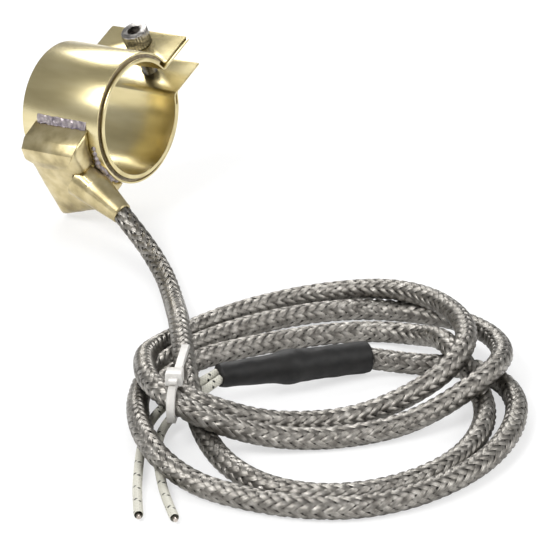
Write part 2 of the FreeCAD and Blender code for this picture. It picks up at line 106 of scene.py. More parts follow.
world = bpy.data.worlds.new("studio")
bpy.context.scene.world = world
world.use_nodes = True
worldTree = world.node_tree
background = worldTree.nodes["Background"]
background.inputs["Strength"].default_value = cameraSetup["skyStrength"]
background.inputs["Color"].default_value = srgb("#E6E6E6")
paths = addNode(worldTree, "ShaderNodeLightPath")
seen = addNode(worldTree, "ShaderNodeMath", {"operation": "MAXIMUM"},
               links={0: (paths, "Is Camera Ray"), 1: (paths, "Is Transmission Ray")})
white = addNode(worldTree, "ShaderNodeBackground", inputs={"Color": grey(1.0), "Strength": 1.0})
mixed = addNode(worldTree, "ShaderNodeMixShader", links={0: (seen, 0), 1: (background, 0), 2: (white, 0)})
worldTree.links.new(mixed.outputs[0], worldTree.nodes["World Output"].inputs["Surface"])

bpy.ops.mesh.primitive_plane_add(size=6, location=(0, 0, cameraSetup["floorHeight"]))
floor = bpy.context.object
floor.name = "floor"
floorPaint, floorTree, floorShader = newMaterial(
    "matt_white_table", {"Base Color": srgb("#F4F4F4"), "Roughness": 0.9, "Specular IOR Level": 0.1})
floorPath = addNode(floorTree, "ShaderNodeLightPath")
floorGlow = addNode(floorTree, "ShaderNodeEmission", inputs={"Color": grey(1.0), "Strength": 1.0})
floorSeen = addNode(floorTree, "ShaderNodeMath", {"operation": "MAXIMUM"},
                    links={0: (floorPath, "Is Camera Ray"), 1: (floorPath, "Is Transmission Ray")})
floorShare = addNode(floorTree, "ShaderNodeMath", {"operation": "MULTIPLY"},
                     {1: cameraSetup["floorWhite"]}, {0: (floorSeen, 0)})
floorMix = addNode(floorTree, "ShaderNodeMixShader",
                   links={0: (floorShare, 0), 1: (floorShader, 0), 2: (floorGlow, 0)})
floorTree.links.new(floorMix.outputs[0], floorTree.nodes["Material Output"].inputs["Surface"])
floor.data.materials.append(floorPaint)

lampSetup = {   # name: (place, aim, size, watts)
    "key": ((-0.75, 0.15, 0.75), (-0.05, -0.06, 0.0), 0.5, 9.0),
    "fill": ((0.1, -0.95, 0.55), (-0.05, -0.08, 0.0), 0.7, 6.0),
    "back": ((0.55, 0.45, 0.65), (-0.05, -0.08, 0.0), 0.5, 6.0),
}
for name, (place, aim, size, watts) in lampSetup.items():
    light = bpy.data.lights.new(name, "AREA")
    light.energy, light.size = watts, size
    lamp = bpy.data.objects.new(name, light)
    lamp.location = place
    lamp.rotation_euler = (Vector(aim) - Vector(place)).to_track_quat("-Z", "Y").to_euler()
    bpy.context.collection.objects.link(lamp)
print("stage: camera and room")


# The braided lead, one cord from the ferrule to the end sleeve

leadSetup = {
    "diameter": 0.006,
    "carriers": 8,          # flat strands each way
    "lay": 0.0244,          # length of one turn of a strand
    "startLay": 0.034,      # the braid is pulled long beside the ferrule
    "strandWidth": 0.00168,
    "weave": 0.00021,       # over and under
    "step": 0.00078,
    "coreRadius": 0.00262,
}
# worked out by a separate relaxation of four loose turns, then rounded; the first five are the part's own
leadRoute = [
    (-0.0204, -0.0234, -0.0218), (-0.0226, -0.0306, -0.0254), (-0.0260, -0.0380, -0.0280),
    (-0.0310, -0.0454, -0.0294), (-0.0380, -0.0536, -0.0294), (-0.0471, -0.0627, -0.0296),
    (-0.0567, -0.0710, -0.0269), (-0.0663, -0.0790, -0.0231), (-0.0762, -0.0876, -0.0226),
    (-0.0863, -0.0959, -0.0222), (-0.0959, -0.1044, -0.0227), (-0.1038, -0.1132, -0.0280),
    (-0.1118, -0.1231, -0.0296), (-0.1186, -0.1346, -0.0296), (-0.1213, -0.1474, -0.0296),
    (-0.1178, -0.1600, -0.0296), (-0.1090, -0.1697, -0.0296), (-0.0974, -0.1759, -0.0296),
    (-0.0846, -0.1787, -0.0296), (-0.0716, -0.1777, -0.0296), (-0.0590, -0.1736, -0.0296),
    (-0.0483, -0.1662, -0.0296), (-0.0417, -0.1558, -0.0246), (-0.0347, -0.1452, -0.0236),
    (-0.0288, -0.1342, -0.0284), (-0.0311, -0.1220, -0.0296), (-0.0401, -0.1121, -0.0296),
    (-0.0506, -0.1041, -0.0296), (-0.0616, -0.0971, -0.0296), (-0.0735, -0.0914, -0.0296),
    (-0.0863, -0.0910, -0.0296), (-0.0977, -0.0966, -0.0266), (-0.1058, -0.1066, -0.0215),
    (-0.1057, -0.1188, -0.0225), (-0.0973, -0.1283, -0.0274), (-0.0874, -0.1370, -0.0296),
    (-0.0777, -0.1456, -0.0295), (-0.0675, -0.1532, -0.0264), (-0.0561, -0.1585, -0.0223),
    (-0.0434, -0.1580, -0.0192), (-0.0322, -0.1512, -0.0194), (-0.0232, -0.1414, -0.0209),
    (-0.0169, -0.1301, -0.0223), (-0.0151, -0.1172, -0.0239), (-0.0181, -0.1046, -0.0264),
    (-0.0254, -0.0939, -0.0283), (-0.0359, -0.0861, -0.0293), (-0.0479, -0.0811, -0.0296),
    (-0.0609, -0.0786, -0.0296), (-0.0738, -0.0778, -0.0292), (-0.0850, -0.0818, -0.0264),
    (-0.0950, -0.0892, -0.0234), (-0.1052, -0.0981, -0.0205), (-0.1117, -0.1090, -0.0200),
    (-0.1109, -0.1215, -0.0229), (-0.1036, -0.1318, -0.0274), (-0.0951, -0.1415, -0.0296),
    (-0.0860, -0.1508, -0.0296), (-0.0753, -0.1582, -0.0291), (-0.0635, -0.1632, -0.0270),
    (-0.0514, -0.1672, -0.0233), (-0.0385, -0.1663, -0.0233), (-0.0271, -0.1598, -0.0253),
    (-0.0190, -0.1495, -0.0265), (-0.0152, -0.1369, -0.0278), (-0.0156, -0.1239, -0.0293),
    (-0.0206, -0.1119, -0.0296), (-0.0295, -0.1022, -0.0296), (-0.0403, -0.0949, -0.0296),
    (-0.0521, -0.0893, -0.0296), (-0.0646, -0.0855, -0.0296), (-0.0776, -0.0845, -0.0296),
    (-0.0905, -0.0862, -0.0296), (-0.1019, -0.0924, -0.0290), (-0.1122, -0.1001, -0.0267),
    (-0.1217, -0.1091, -0.0260), (-0.1284, -0.1201, -0.0274), (-0.1305, -0.1328, -0.0294),
    (-0.1288, -0.1458, -0.0296), (-0.1250, -0.1584, -0.0296), (-0.1182, -0.1695, -0.0296),
    (-0.1079, -0.1776, -0.0296), (-0.0957, -0.1826, -0.0295), (-0.0829, -0.1849, -0.0295),
    (-0.0699, -0.1843, -0.0296), (-0.0571, -0.1812, -0.0296), (-0.0453, -0.1751, -0.0296),
    (-0.0369, -0.1649, -0.0296), (-0.0364, -0.1522, -0.0296), (-0.0434, -0.1413, -0.0296),
    (-0.0502, -0.1298, -0.0278),
]


def splinePoints(name, route, detail=12):
    # the points of the NURBS curve that a cord follows
    curve = bpy.data.curves.new(name, "CURVE")
    curve.dimensions = "3D"
    spline = curve.splines.new("NURBS")
    spline.points.add(len(route) - 1)
    for point, place in zip(spline.points, route):
        point.co = (*place, 1.0)
    spline.order_u = 3
    spline.use_endpoint_u = True
    spline.resolution_u = detail
    holder = bpy.data.objects.new(name, curve)
    line = bpy.data.meshes.new_from_object(holder)
    points = np.array([v.co[:] for v in line.vertices])
    bpy.data.objects.remove(holder)
    bpy.data.meshes.remove(line)
    return points


def cordFrames(points, step):
    # even steps along the line, each with two directions across it that don't twist
    gaps = np.linalg.norm(np.diff(points, axis=0), axis=1)
    keep = np.r_[True, gaps > 1e-9]
    points = points[keep]
    along = np.r_[0, np.cumsum(np.linalg.norm(np.diff(points, axis=0), axis=1))]
    count = int(round(along[-1] / step)) + 1
    at = np.linspace(0, along[-1], count)
    place = np.array([np.interp(at, along, points[:, i]) for i in range(3)]).T
    tangent = np.gradient(place, at, axis=0)
    tangent /= np.linalg.norm(tangent, axis=1)[:, None]
    side = np.zeros_like(tangent)
    start = np.cross(tangent[0], (0, 0, 1))
    side[0] = start / np.linalg.norm(start)
    for i in range(1, count):
        turned = side[i - 1] - tangent[i] * side[i - 1].dot(tangent[i])
        side[i] = turned / np.linalg.norm(turned)
    return at, place, side, np.cross(tangent, side)


def gridMesh(name, sheets, materials):
    # sheets: (points [rows, columns, 3], uv [rows, columns, 2], slot, closed)
    vertices, faces, coordinates, slots, base = [], [], [], [], 0
    for points, uv, slot, closed in sheets:
        rows, columns = points.shape[:2]
        vertices.append(points.reshape(-1, 3))
        index = np.arange(rows * columns).reshape(rows, columns) + base
        wrap = np.roll(index, -1, axis=1) if closed else index[:, 1:]
        here = index if closed else index[:, :-1]
        quads = np.stack([here[:-1], wrap[:-1], wrap[1:], here[1:]], axis=-1).reshape(-1, 4)
        faces.append(quads)
        coordinates.append(uv.reshape(-1, 2)[quads - base].reshape(-1, 2))
        slots.append(np.full(len(quads), slot))
        base += rows * columns
    mesh = bpy.data.meshes.new(name)
    mesh.from_pydata(np.concatenate(vertices).tolist(), [], np.concatenate(faces).tolist())
    layer = mesh.uv_layers.new(name="cordUV")
    layer.data.foreach_set("uv", np.concatenate(coordinates).astype(np.float32).ravel())
    mesh.polygons.foreach_set("material_index", np.concatenate(slots).astype(np.int32))
    mesh.polygons.foreach_set("use_smooth", np.ones(len(mesh.polygons), dtype=bool))
    for material in materials:
        mesh.materials.append(material)
    mesh.update()
    piece = bpy.data.objects.new(name, mesh)
    bpy.context.collection.objects.link(piece)
    return piece


def tubeSheet(at, place, side, up, radii, sides, slot):
    angle = np.linspace(0, 2 * math.pi, sides, endpoint=False)
    ring = np.cos(angle)[None, :, None] * side[:, None] + np.sin(angle)[None, :, None] * up[:, None]
    points = place[:, None] + ring * np.asarray(radii)[:, None, None]
    uv = np.stack(np.broadcast_arrays(angle[None] / (2 * math.pi), at[:, None] * 1000), axis=-1)
    return points, uv, slot, True


def braidSheets(setup, at, place, side, up):
    # sixteen flat strands, two over and two under
    lay = np.interp(at, [0.0, 0.06, 0.1], [setup["startLay"], 0.031, setup["lay"]])
    turns = np.concatenate([[0], np.cumsum(np.diff(at) / lay[1:])])
    across = np.array([-1.0, -0.4, 0.4, 1.0])
    crown = np.array([-0.00022, 0.00003, 0.00003, -0.00022])
    count = setup["carriers"]
    full = setup["diameter"] / 2
    slant = np.arctan(2 * math.pi * full / lay)
    sheets = []
    for way in (1, -1):
        for k in range(count):
            if way > 0:
                phase = (2 * count * turns + 2 * k) / 4
            else:
                phase = (2 * k - 2 * count * turns) / 4
            lift = way * np.tanh(2.0 * np.sin(2 * math.pi * phase + math.pi / 4))
            radius = full - 0.0002 + setup["weave"] * lift[:, None] + crown[None]
            wander = 0.05 * np.sin(at * 410 + k * 2.1 + way)
            angle = way * 2 * math.pi * turns + 2 * math.pi * k / count + wander
            shift = across[None] * setup["strandWidth"] / 2
            angles = angle[:, None] + shift * np.cos(slant)[:, None] / full
            places = np.clip(at[:, None] - way * shift * np.sin(slant)[:, None], 0, at[-1])
            flat = places.ravel()
            centre = np.array([np.interp(flat, at, place[:, i]) for i in range(3)]).T
            a = np.array([np.interp(flat, at, side[:, i]) for i in range(3)]).T
            b = np.array([np.interp(flat, at, up[:, i]) for i in range(3)]).T
            out = np.cos(angles).ravel()[:, None] * a + np.sin(angles).ravel()[:, None] * b
            points = (centre + out * radius.ravel()[:, None]).reshape(len(at), 4, 3)
            uv = np.stack(np.broadcast_arrays((across[None] + 1) / 2 + 2 * k, at[:, None] * 1000), axis=-1)
            if way > 0:
                points, uv = points[:, ::-1], uv[:, ::-1]
            sheets.append((points[:, ::-1], uv[:, ::-1], 0, False))
    return sheets


# Stainless steel braid, drawn wire, with fine wires side by side; painted shade darkens the grooves between the
# wires, so each wire reads bright along its middle
steel, steelTree, steelShader = newMaterial("stainless_steel_braid_drawn_wire",
                                            {"Metallic": 1.0, "Roughness": 0.36})
steelUv = addNode(steelTree, "ShaderNodeUVMap", {"uv_map": "cordUV"})
wires = addNode(steelTree, "ShaderNodeTexWave",
                {"wave_type": "BANDS", "bands_direction": "X", "wave_profile": "SIN"},
                {"Scale": 1.7, "Distortion": 0.6, "Detail": 1.0},   # five wires a strand
                {"Vector": (steelUv, 0)})
steelPlace = addNode(steelTree, "ShaderNodeTexCoord")
dirt = addNode(steelTree, "ShaderNodeTexNoise", inputs={"Scale": 420.0, "Detail": 3.0},   # patches of 2.4 mm
               links={"Vector": (steelPlace, "Object")})
steelTone = ramp(steelTree, dirt, "Fac",
                 [(0.3, srgb("#77736D")), (0.52, srgb("#A5A19A")), (0.75, srgb("#CCC8C1"))])
# painted shade: the wire bands multiply the colour down in the grooves between wires (the same bands also give
# the bump)
steelGrooveShade = addNode(steelTree, "ShaderNodeMix", {"data_type": "RGBA", "blend_type": "MULTIPLY"},
                     {"Factor": 0.6})
steelTree.links.new(steelTone.outputs["Color"], steelGrooveShade.inputs["A"])
steelTree.links.new(wires.outputs["Color"], steelGrooveShade.inputs["B"])
steelTree.links.new(steelGrooveShade.outputs["Result"], steelShader.inputs["Base Color"])
steelBump = addNode(steelTree, "ShaderNodeBump", inputs={"Strength": 0.5, "Distance": 0.00008},
                    links={"Height": (wires, "Fac")})
steelTree.links.new(steelBump.outputs["Normal"], steelShader.inputs["Normal"])

# Inside of the braid: the glass sleeve, coloured near black as painted shade in the gaps between the strands
gapDark = newMaterial("shadowed_glass_sleeve", {"Base Color": srgb("#24211E"), "Roughness": 0.9})[0]

leadPoints = splinePoints("lead_line", leadRoute)
at, place, side, up = cordFrames(leadPoints, leadSetup["step"])
leadAt, leadPlace = at, place
sheets = braidSheets(leadSetup, at, place, side, up)
every = slice(0, len(at), 3)
sheets.append(tubeSheet(at[every], place[every], side[every], up[every],
                        np.full(len(at[every]), leadSetup["coreRadius"]), 10, 1))
leadBraid = gridMesh("lead_braid", sheets, [steel, gapDark])
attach(leadBraid, "band")
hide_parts("lead", "lead_coil", "lead_end")
print("stage: braided lead")


def pick(piece):
    bpy.ops.object.select_all(action="DESELECT")
    piece.select_set(True)
    bpy.context.view_layer.objects.active = piece


def applyModifier(piece, kind, **settings):
    pick(piece)
    modifier = piece.modifiers.new(kind.lower(), kind)
    for key, value in settings.items():
        setattr(modifier, key, value)
    bpy.ops.object.modifier_apply(modifier=modifier.name)


def editMesh(piece, *steps):
    pick(piece)
    bpy.ops.object.mode_set(mode="EDIT")
    bpy.ops.mesh.select_all(action="SELECT")
    for step, settings in steps:
        step(**settings)
    bpy.ops.object.mode_set(mode="OBJECT")


def joined(name, parts, voxel=None, rounds=0):
    bpy.ops.object.select_all(action="DESELECT")
    for part in parts:
        part.select_set(True)
    bpy.context.view_layer.objects.active = parts[0]
    bpy.ops.object.join()
    piece = bpy.context.object
    pick(piece)
    bpy.ops.object.transform_apply(location=True, rotation=True, scale=True)
    piece.name = name
    if voxel:
        piece.data.remesh_voxel_size = voxel
        bpy.ops.object.voxel_remesh()
        applyModifier(piece, "SMOOTH", factor=0.5, iterations=rounds)
    return piece


def dress(piece, material, body="band"):
    piece.data.materials.clear()
    piece.data.materials.append(material)
    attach(piece, body)
    return piece


def finishedCopy(name, bevel):
    # the CAD solid with its edges broken
    piece = bpy.data.objects.new(name + "_finished", bpy.data.objects[name].data.copy())
    bpy.context.collection.objects.link(piece)
    pick(piece)
    bpy.ops.mesh.customdata_custom_splitnormals_clear()
    editMesh(piece, (bpy.ops.mesh.remove_doubles, {"threshold": 0.000004}),
             (bpy.ops.mesh.dissolve_limited, {"angle_limit": math.radians(0.5)}),
             (bpy.ops.mesh.normals_make_consistent, {"inside": False}))
    if bevel:
        applyModifier(piece, "BEVEL", width=bevel, segments=2, limit_method="ANGLE",
                      angle_limit=math.radians(40))
        bpy.ops.object.shade_smooth_by_angle(angle=math.radians(35))
    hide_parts(name)
    return piece


def tinted(name, surface, stops, grain, bump=0.0, depth=0.0001, stretch=(1, 1, 1), fine=None):
    # grain: size of the pattern in millimetres, stretch: how it is drawn out along X, Y and Z
    material, tree, shader = newMaterial(name, surface)
    place = addNode(tree, "ShaderNodeTexCoord")
    mapping = addNode(tree, "ShaderNodeMapping", inputs={"Scale": stretch},
                      links={"Vector": (place, "Object")})
    noise = addNode(tree, "ShaderNodeTexNoise", inputs={"Scale": 1000 / grain, "Detail": 4.0},
                    links={"Vector": (mapping, 0)})
    tone = ramp(tree, noise, "Fac", [(at, srgb(colour)) for at, colour in stops])
    tree.links.new(tone.outputs["Color"], shader.inputs["Base Color"])
    if bump:
        detail = addNode(tree, "ShaderNodeTexNoise", inputs={"Scale": 1000 / (fine or grain), "Detail": 3.0},
                         links={"Vector": (mapping, 0)})
        raised = addNode(tree, "ShaderNodeBump", inputs={"Strength": bump, "Distance": depth},
                         links={"Height": (detail, "Fac")})
        tree.links.new(raised.outputs["Normal"], shader.inputs["Normal"])
    return material


# Rolled brass sheet, handled: warm metal with soft darker smears and faint rolling lines round the band
brass = tinted("rolled_brass_sheet_handled", {"Metallic": 1.0, "Roughness": 0.27},
               [(0.25, "#A79A70"), (0.5, "#C9BC90"), (0.75, "#DDD2AB")],
               9.0, 0.22, 0.00005, (1, 0.25, 1), 1.1)
# Brass heated by the torch beside the solder: duller and browner
heatedBrass = tinted("brass_sheet_heated_for_soldering", {"Metallic": 1.0, "Roughness": 0.31},
                     [(0.25, "#8C7F5C"), (0.5, "#BDAF86"), (0.75, "#D8CBA4")],
                     6.0, 0.35, 0.00008, (1, 1, 1), 2.2)
# Soft solder, run and frozen: grey with a violet cast, uneven
solder = tinted("soft_solder_run_and_frozen", {"Metallic": 1.0, "Roughness": 0.42},
                [(0.3, "#77707A"), (0.55, "#A79EA0"), (0.8, "#CFC8C6")], 1.6, 0.6, 0.00012, (1, 1, 1), 0.8)
# Zinc-plated turned steel: clear and slightly blue, with turning marks
screwSteel = tinted("zinc_plated_turned_steel", {"Metallic": 1.0, "Roughness": 0.24},
                    [(0.3, "#6B6865"), (0.7, "#A6A39F")], 2.5, 0.15, 0.00003, (1, 1, 4), 0.5)
# Pressed mica sheet: silvery brown layers at the cut edge
mica = tinted("pressed_mica_sheet", {"Roughness": 0.45}, [(0.3, "#7B6B52"), (0.7, "#B3A588")], 1.2, 0.3)
# Nickel-chrome ribbon, cold rolled: dull grey
ribbon = tinted("cold_rolled_nickel_chrome_ribbon", {"Metallic": 1.0, "Roughness": 0.4},
                [(0.3, "#6A6765"), (0.7, "#8C8986")], 2.0, 0.2)
# Heat-shrunk polyolefin: near black, half matt, puckered
shrinkBlack = tinted("heat_shrunk_black_polyolefin", {"Roughness": 0.55, "Specular IOR Level": 0.3},
                     [(0.3, "#111111"), (0.7, "#1E1D1C")], 3.0, 0.4, 0.00015, (1, 1, 1), 1.4)
# Moulded natural nylon: milky, lets some light through
nylon = tinted("moulded_natural_nylon", {"Roughness": 0.35, "Transmission Weight": 0.35, "IOR": 1.53},
               [(0.3, "#DAD7D2"), (0.7, "#ECEAE6")], 3.0, 0.15, 0.00005)
# Tinned copper strands, cut: bright tips
copper = tinted("tinned_copper_strands", {"Metallic": 1.0, "Roughness": 0.33},
                [(0.3, "#9A8F86"), (0.7, "#C9C2BA")], 0.8, 0.3)
for name, material in {"mica_inner": mica, "mica_core": mica, "mica_outer": mica, "heating_ribbon": ribbon,
                       "tail_core_left": copper, "tail_core_right": copper}.items():
    node = bpy.data.objects[name]
    node.data.materials.clear()
    node.data.materials.append(material)
print("stage: materials")


# Band: two brass sheets with broken edges

for name in ("inner_sleeve", "outer_casing", "clamp_nut"):
    dress(finishedCopy(name, 0.00012), screwSteel if name == "clamp_nut" else brass)
print("stage: band")


# Hood: folded from thin sheet by hand, so its corners are round and its faces a little uneven

hoodSetup = {"voxel": 0.00045, "rounds": 60, "dent": 0.0005, "dentSize": 0.008}
hood = finishedCopy("lead_hood", 0)
hood.data.remesh_voxel_size = hoodSetup["voxel"]
pick(hood)
bpy.ops.object.voxel_remesh()
applyModifier(hood, "SMOOTH", factor=0.5, iterations=hoodSetup["rounds"])
before = np.array([v.co[:] for v in bpy.data.objects["lead_hood"].data.vertices])
after = np.array([v.co[:] for v in hood.data.vertices])
stretch = np.ptp(before, axis=0) / np.ptp(after, axis=0)   # back to the size it had before rounding
for vertex, spot in zip(hood.data.vertices, (after - after.min(axis=0)) * stretch + before.min(axis=0)):
    vertex.co = spot
dents = bpy.data.textures.new("dents", "CLOUDS")
dents.noise_scale = hoodSetup["dentSize"]
applyModifier(hood, "DISPLACE", texture=dents, strength=hoodSetup["dent"], mid_level=0.5,
              texture_coords="LOCAL")
pick(hood)
bpy.ops.object.shade_smooth()
dress(hood, heatedBrass)
dress(finishedCopy("hood_tongue", 0.0001), heatedBrass)
print("stage: hood")


# Ferrule: sheet rolled to a cone, its edge lapped over along the side

ferruleSetup = {
    "wide": (-0.0191, -0.0075, -0.0143), "narrow": (-0.0204, -0.0234, -0.0218),
    "wideRadius": 0.0062, "narrowRadius": 0.0033, "lap": 0.00022, "lapArc": 150,
    "seamSide": (-0.772, -0.218, 0.596),
}
dress(finishedCopy("lead_ferrule", 0.0001), heatedBrass)


def ferruleLap(setup):
    wide, narrow = Vector(setup["wide"]), Vector(setup["narrow"])
    axis = (narrow - wide).normalized()
    out = Vector(setup["seamSide"])
    out = (out - axis * out.dot(axis)).normalized()
    other = axis.cross(out)
    rows = []
    for i in range(25):
        t = 0.3 + 0.69 * i / 24
        radius = setup["wideRadius"] + (setup["narrowRadius"] - setup["wideRadius"]) * t + setup["lap"] * 0.5
        centre = wide.lerp(narrow, t)
        arcs = [math.radians(18 - setup["lapArc"] * j / 36) for j in range(37)]
        rows.append([centre + (out * math.cos(a) + other * math.sin(a)) * radius for a in arcs])
    points = np.array([[list(p) for p in row] for row in rows])
    lap = gridMesh("ferrule_lap", [(points, points[:, :, :2] * 0, 0, False)], [])
    applyModifier(lap, "SOLIDIFY", thickness=setup["lap"], offset=1)
    applyModifier(lap, "BEVEL", width=0.00006, segments=2, limit_method="ANGLE", angle_limit=math.radians(50))
    bpy.ops.object.shade_smooth_by_angle(angle=math.radians(35))
    return lap


dress(ferruleLap(ferruleSetup), heatedBrass)
print("stage: ferrule")


# Solder run in beside the ferrule and along the hood

solderSetup = {
    "blobs": [  # angle round the band in degrees, place along it, radius, all in millimetres
        (38, -12.6, 1.5), (44, -12.9, 1.3), (50, -12.2, 1.5), (56, -12.7, 1.0),
        (34, -13.2, 0.9), (47, -11.0, 1.3),
        (53, -10.4, 1.1), (30, -11.9, 1.2), (26, -12.3, 1.0), (21, -12.4, 0.9), (16, -12.5, 0.9),
        (11, -12.6, 0.8), (34, -12.8, 1.4),
    ],
    "radius": 20.2, "voxel": 0.00022, "lump": 0.0007, "lumpSize": 0.0025,
}


def onBand(angle, along, radius):
    # a place on the band's outside, in millimetres, with the band's 4 degree tilt
    turn, tilt = math.radians(angle), math.radians(-4)
    x, z = -radius * math.cos(turn), -radius * math.sin(turn)
    y, z = along * math.cos(tilt) - z * math.sin(tilt), along * math.sin(tilt) + z * math.cos(tilt)
    return Vector((x, y, z)) / 1000


blobs = []
for angle, along, radius in solderSetup["blobs"]:
    bpy.ops.object.select_all(action="DESELECT")
    bpy.ops.mesh.primitive_ico_sphere_add(subdivisions=3, radius=radius / 1000,
                                          location=onBand(angle, along, solderSetup["radius"]))
    blobs.append(bpy.context.object)
blobs.append(finishedCopy("hood_solder", 0))
runs = joined("solder_run", blobs, solderSetup["voxel"], 5)
lumps = bpy.data.textures.new("lumps", "CLOUDS")
lumps.noise_scale = solderSetup["lumpSize"]
applyModifier(runs, "DISPLACE", texture=lumps, strength=solderSetup["lump"], mid_level=0.5,
              texture_coords="LOCAL")
pick(runs)
bpy.ops.object.shade_smooth()
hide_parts("hood_solder")
dress(runs, solder)
print("stage: solder")


# Clamp screw: knurled cap head with a hexagon socket, rolled M5 thread

screwSetup = {
    "foot": (0.023659, 0.000752, 0.010756), "axis": (-0.414693, 0.063476, 0.907745),
    "headHeight": 0.0052, "headRadius": 0.0044, "knurls": 30, "knurlDepth": 0.00036, "keyRadius": 0.00231,
    "keyDepth": 0.0026, "root": 0.00205, "crest": 0.00244, "pitch": 0.0008,
}


def clampScrew(setup):
    foot, axis = Vector(setup["foot"]), Vector(setup["axis"]).normalized()
    heights = [(v.co - foot).dot(axis) for v in bpy.data.objects["clamp_screw"].data.vertices]
    top, bottom = max(heights), min(heights)
    seat = top - setup["headHeight"]
    bpy.ops.object.select_all(action="DESELECT")
    bpy.ops.mesh.primitive_cylinder_add(vertices=2 * setup["knurls"], radius=setup["headRadius"] - 0.00001,
                                        depth=setup["headHeight"], location=(0, 0, (top + seat) / 2))
    head = bpy.context.object
    for vertex in head.data.vertices:
        if round((math.atan2(vertex.co.y, vertex.co.x)) / math.pi * setup["knurls"]) % 2:
            vertex.co.xy *= 1 - setup["knurlDepth"] / setup["headRadius"]
    applyModifier(head, "BEVEL", width=0.0004, segments=3, limit_method="ANGLE", angle_limit=math.radians(60))
    bpy.ops.mesh.primitive_cylinder_add(vertices=6, radius=setup["keyRadius"], depth=2 * setup["keyDepth"],
                                        location=(0, 0, top))
    key = bpy.context.object
    applyModifier(head, "BOOLEAN", object=key, operation="DIFFERENCE")
    bpy.data.objects.remove(key)
    bpy.ops.mesh.primitive_cylinder_add(vertices=28, radius=setup["root"], depth=seat - bottom + 0.0004,
                                        location=(0, 0, (seat + bottom) / 2 + 0.0002))
    core = bpy.context.object
    count = int((seat - bottom - 2 * setup["pitch"]) / setup["pitch"])
    profile = []
    for i in range(count + 1):
        low = bottom + 0.0003 + i * setup["pitch"]
        profile += [(setup["root"] - 0.00002, 0, low), (setup["crest"], 0, low + setup["pitch"] / 2)]
    mesh = bpy.data.meshes.new("thread")
    mesh.from_pydata(profile, [(i, i + 1) for i in range(len(profile) - 1)], [])
    thread = bpy.data.objects.new("thread", mesh)
    bpy.context.collection.objects.link(thread)
    applyModifier(thread, "SCREW", axis="Z", angle=2 * math.pi, screw_offset=setup["pitch"],
                  steps=28, render_steps=28)
    screw = joined("cap_screw", [head, core, thread])
    turn = Matrix.Translation(foot) @ axis.to_track_quat("Z", "Y").to_matrix().to_4x4()
    screw.data.transform(turn)
    editMesh(screw, (bpy.ops.mesh.normals_make_consistent, {"inside": False}))
    bpy.ops.object.shade_smooth_by_angle(angle=math.radians(30))
    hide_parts("clamp_screw")
    return screw


dress(clampScrew(screwSetup), screwSteel, "screw")
print("stage: clamp screw")


# End sleeve: heat-shrink tube over the joint, thick where it covers the braid and thin at the tails

sleeveSetup = {
    "right": (-0.0502, -0.1298, -0.0278), "left": (-0.0877, -0.1078, -0.0242), "length": 0.043,
    "profile": [   # share of the length, radius in millimetres
        (-0.02, 4.4), (0.0, 4.6), (0.3, 4.4), (0.44, 4.5), (0.5, 5.0),
        (0.55, 4.9), (0.62, 4.1), (0.8, 3.6), (0.97, 3.4), (1.0, 3.1),
    ],
    "pucker": 0.00009,
}


def endSleeve(setup):
    right, left = np.array(setup["right"]), np.array(setup["left"])
    axis = (left - right) / np.linalg.norm(left - right)
    t = np.linspace(-0.02, 1.0, 150)
    place = right + axis * setup["length"] * t[:, None]
    across = np.cross(axis, (0, 0, 1))
    across /= np.linalg.norm(across)
    above = np.cross(axis, across)
    stations, widths = zip(*setup["profile"])
    radius = np.interp(t, stations, widths) / 1000
    passing = leadPlace[leadAt < leadAt[-1] - 0.05]
    room = np.array([np.linalg.norm(passing - p, axis=1).min() for p in place])
    room = room - leadSetup["diameter"] / 2 - 0.0001
    radius = np.minimum(radius, np.maximum(room, 0.0031))
    radius = np.convolve(np.pad(radius, 3, mode="edge"), np.ones(7) / 7, mode="valid")
    radius = np.minimum(radius, place[:, 2] - cameraSetup["floorHeight"] - 0.0001)
    angle = np.linspace(0, 2 * math.pi, 48, endpoint=False)
    pucker = setup["pucker"] * (np.sin(angle[None] * 3 + t[:, None] * 11) * np.sin(t[:, None] * 23 + angle[None])
                                + 0.5 * np.sin(angle[None] * 2 - t[:, None] * 31 + 4 * np.sin(t[:, None] * 9)))
    ring = np.cos(angle)[None, :, None] * across + np.sin(angle)[None, :, None] * above
    points = place[:, None] + ring * (radius[:, None] + pucker - setup["pucker"])[..., None]
    uv = np.stack(np.broadcast_arrays(angle[None] / 6.283, t[:, None] * 43), axis=-1)
    tube = gridMesh("shrink_sleeve", [(points, uv, 0, True)], [])
    tube.data.materials.append(shrinkBlack)
    editMesh(tube, (bpy.ops.mesh.select_non_manifold, {"extend": False}), (bpy.ops.mesh.edge_face_add, {}))
    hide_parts("end_sleeve")
    return tube


endTube = dress(endSleeve(sleeveSetup), shrinkBlack)
print("stage: end sleeve")


# Cable tie: strap round the three strands at the crossing, ratchet head on top, tail cut short

tieSetup = {
    "centre": (-0.0977, -0.1032, -0.0214), "turn": (30, 205),   # degrees about Z, then Y
    "halfLength": 14.0, "halfHeight": 3.95, "slope": 21, "middle": (2.2, 1.8), "strap": (2.3, 1.0),
    "head": (4.6, 4.4, 3.6), "headAt": 9.0, "stub": 3.0,
}


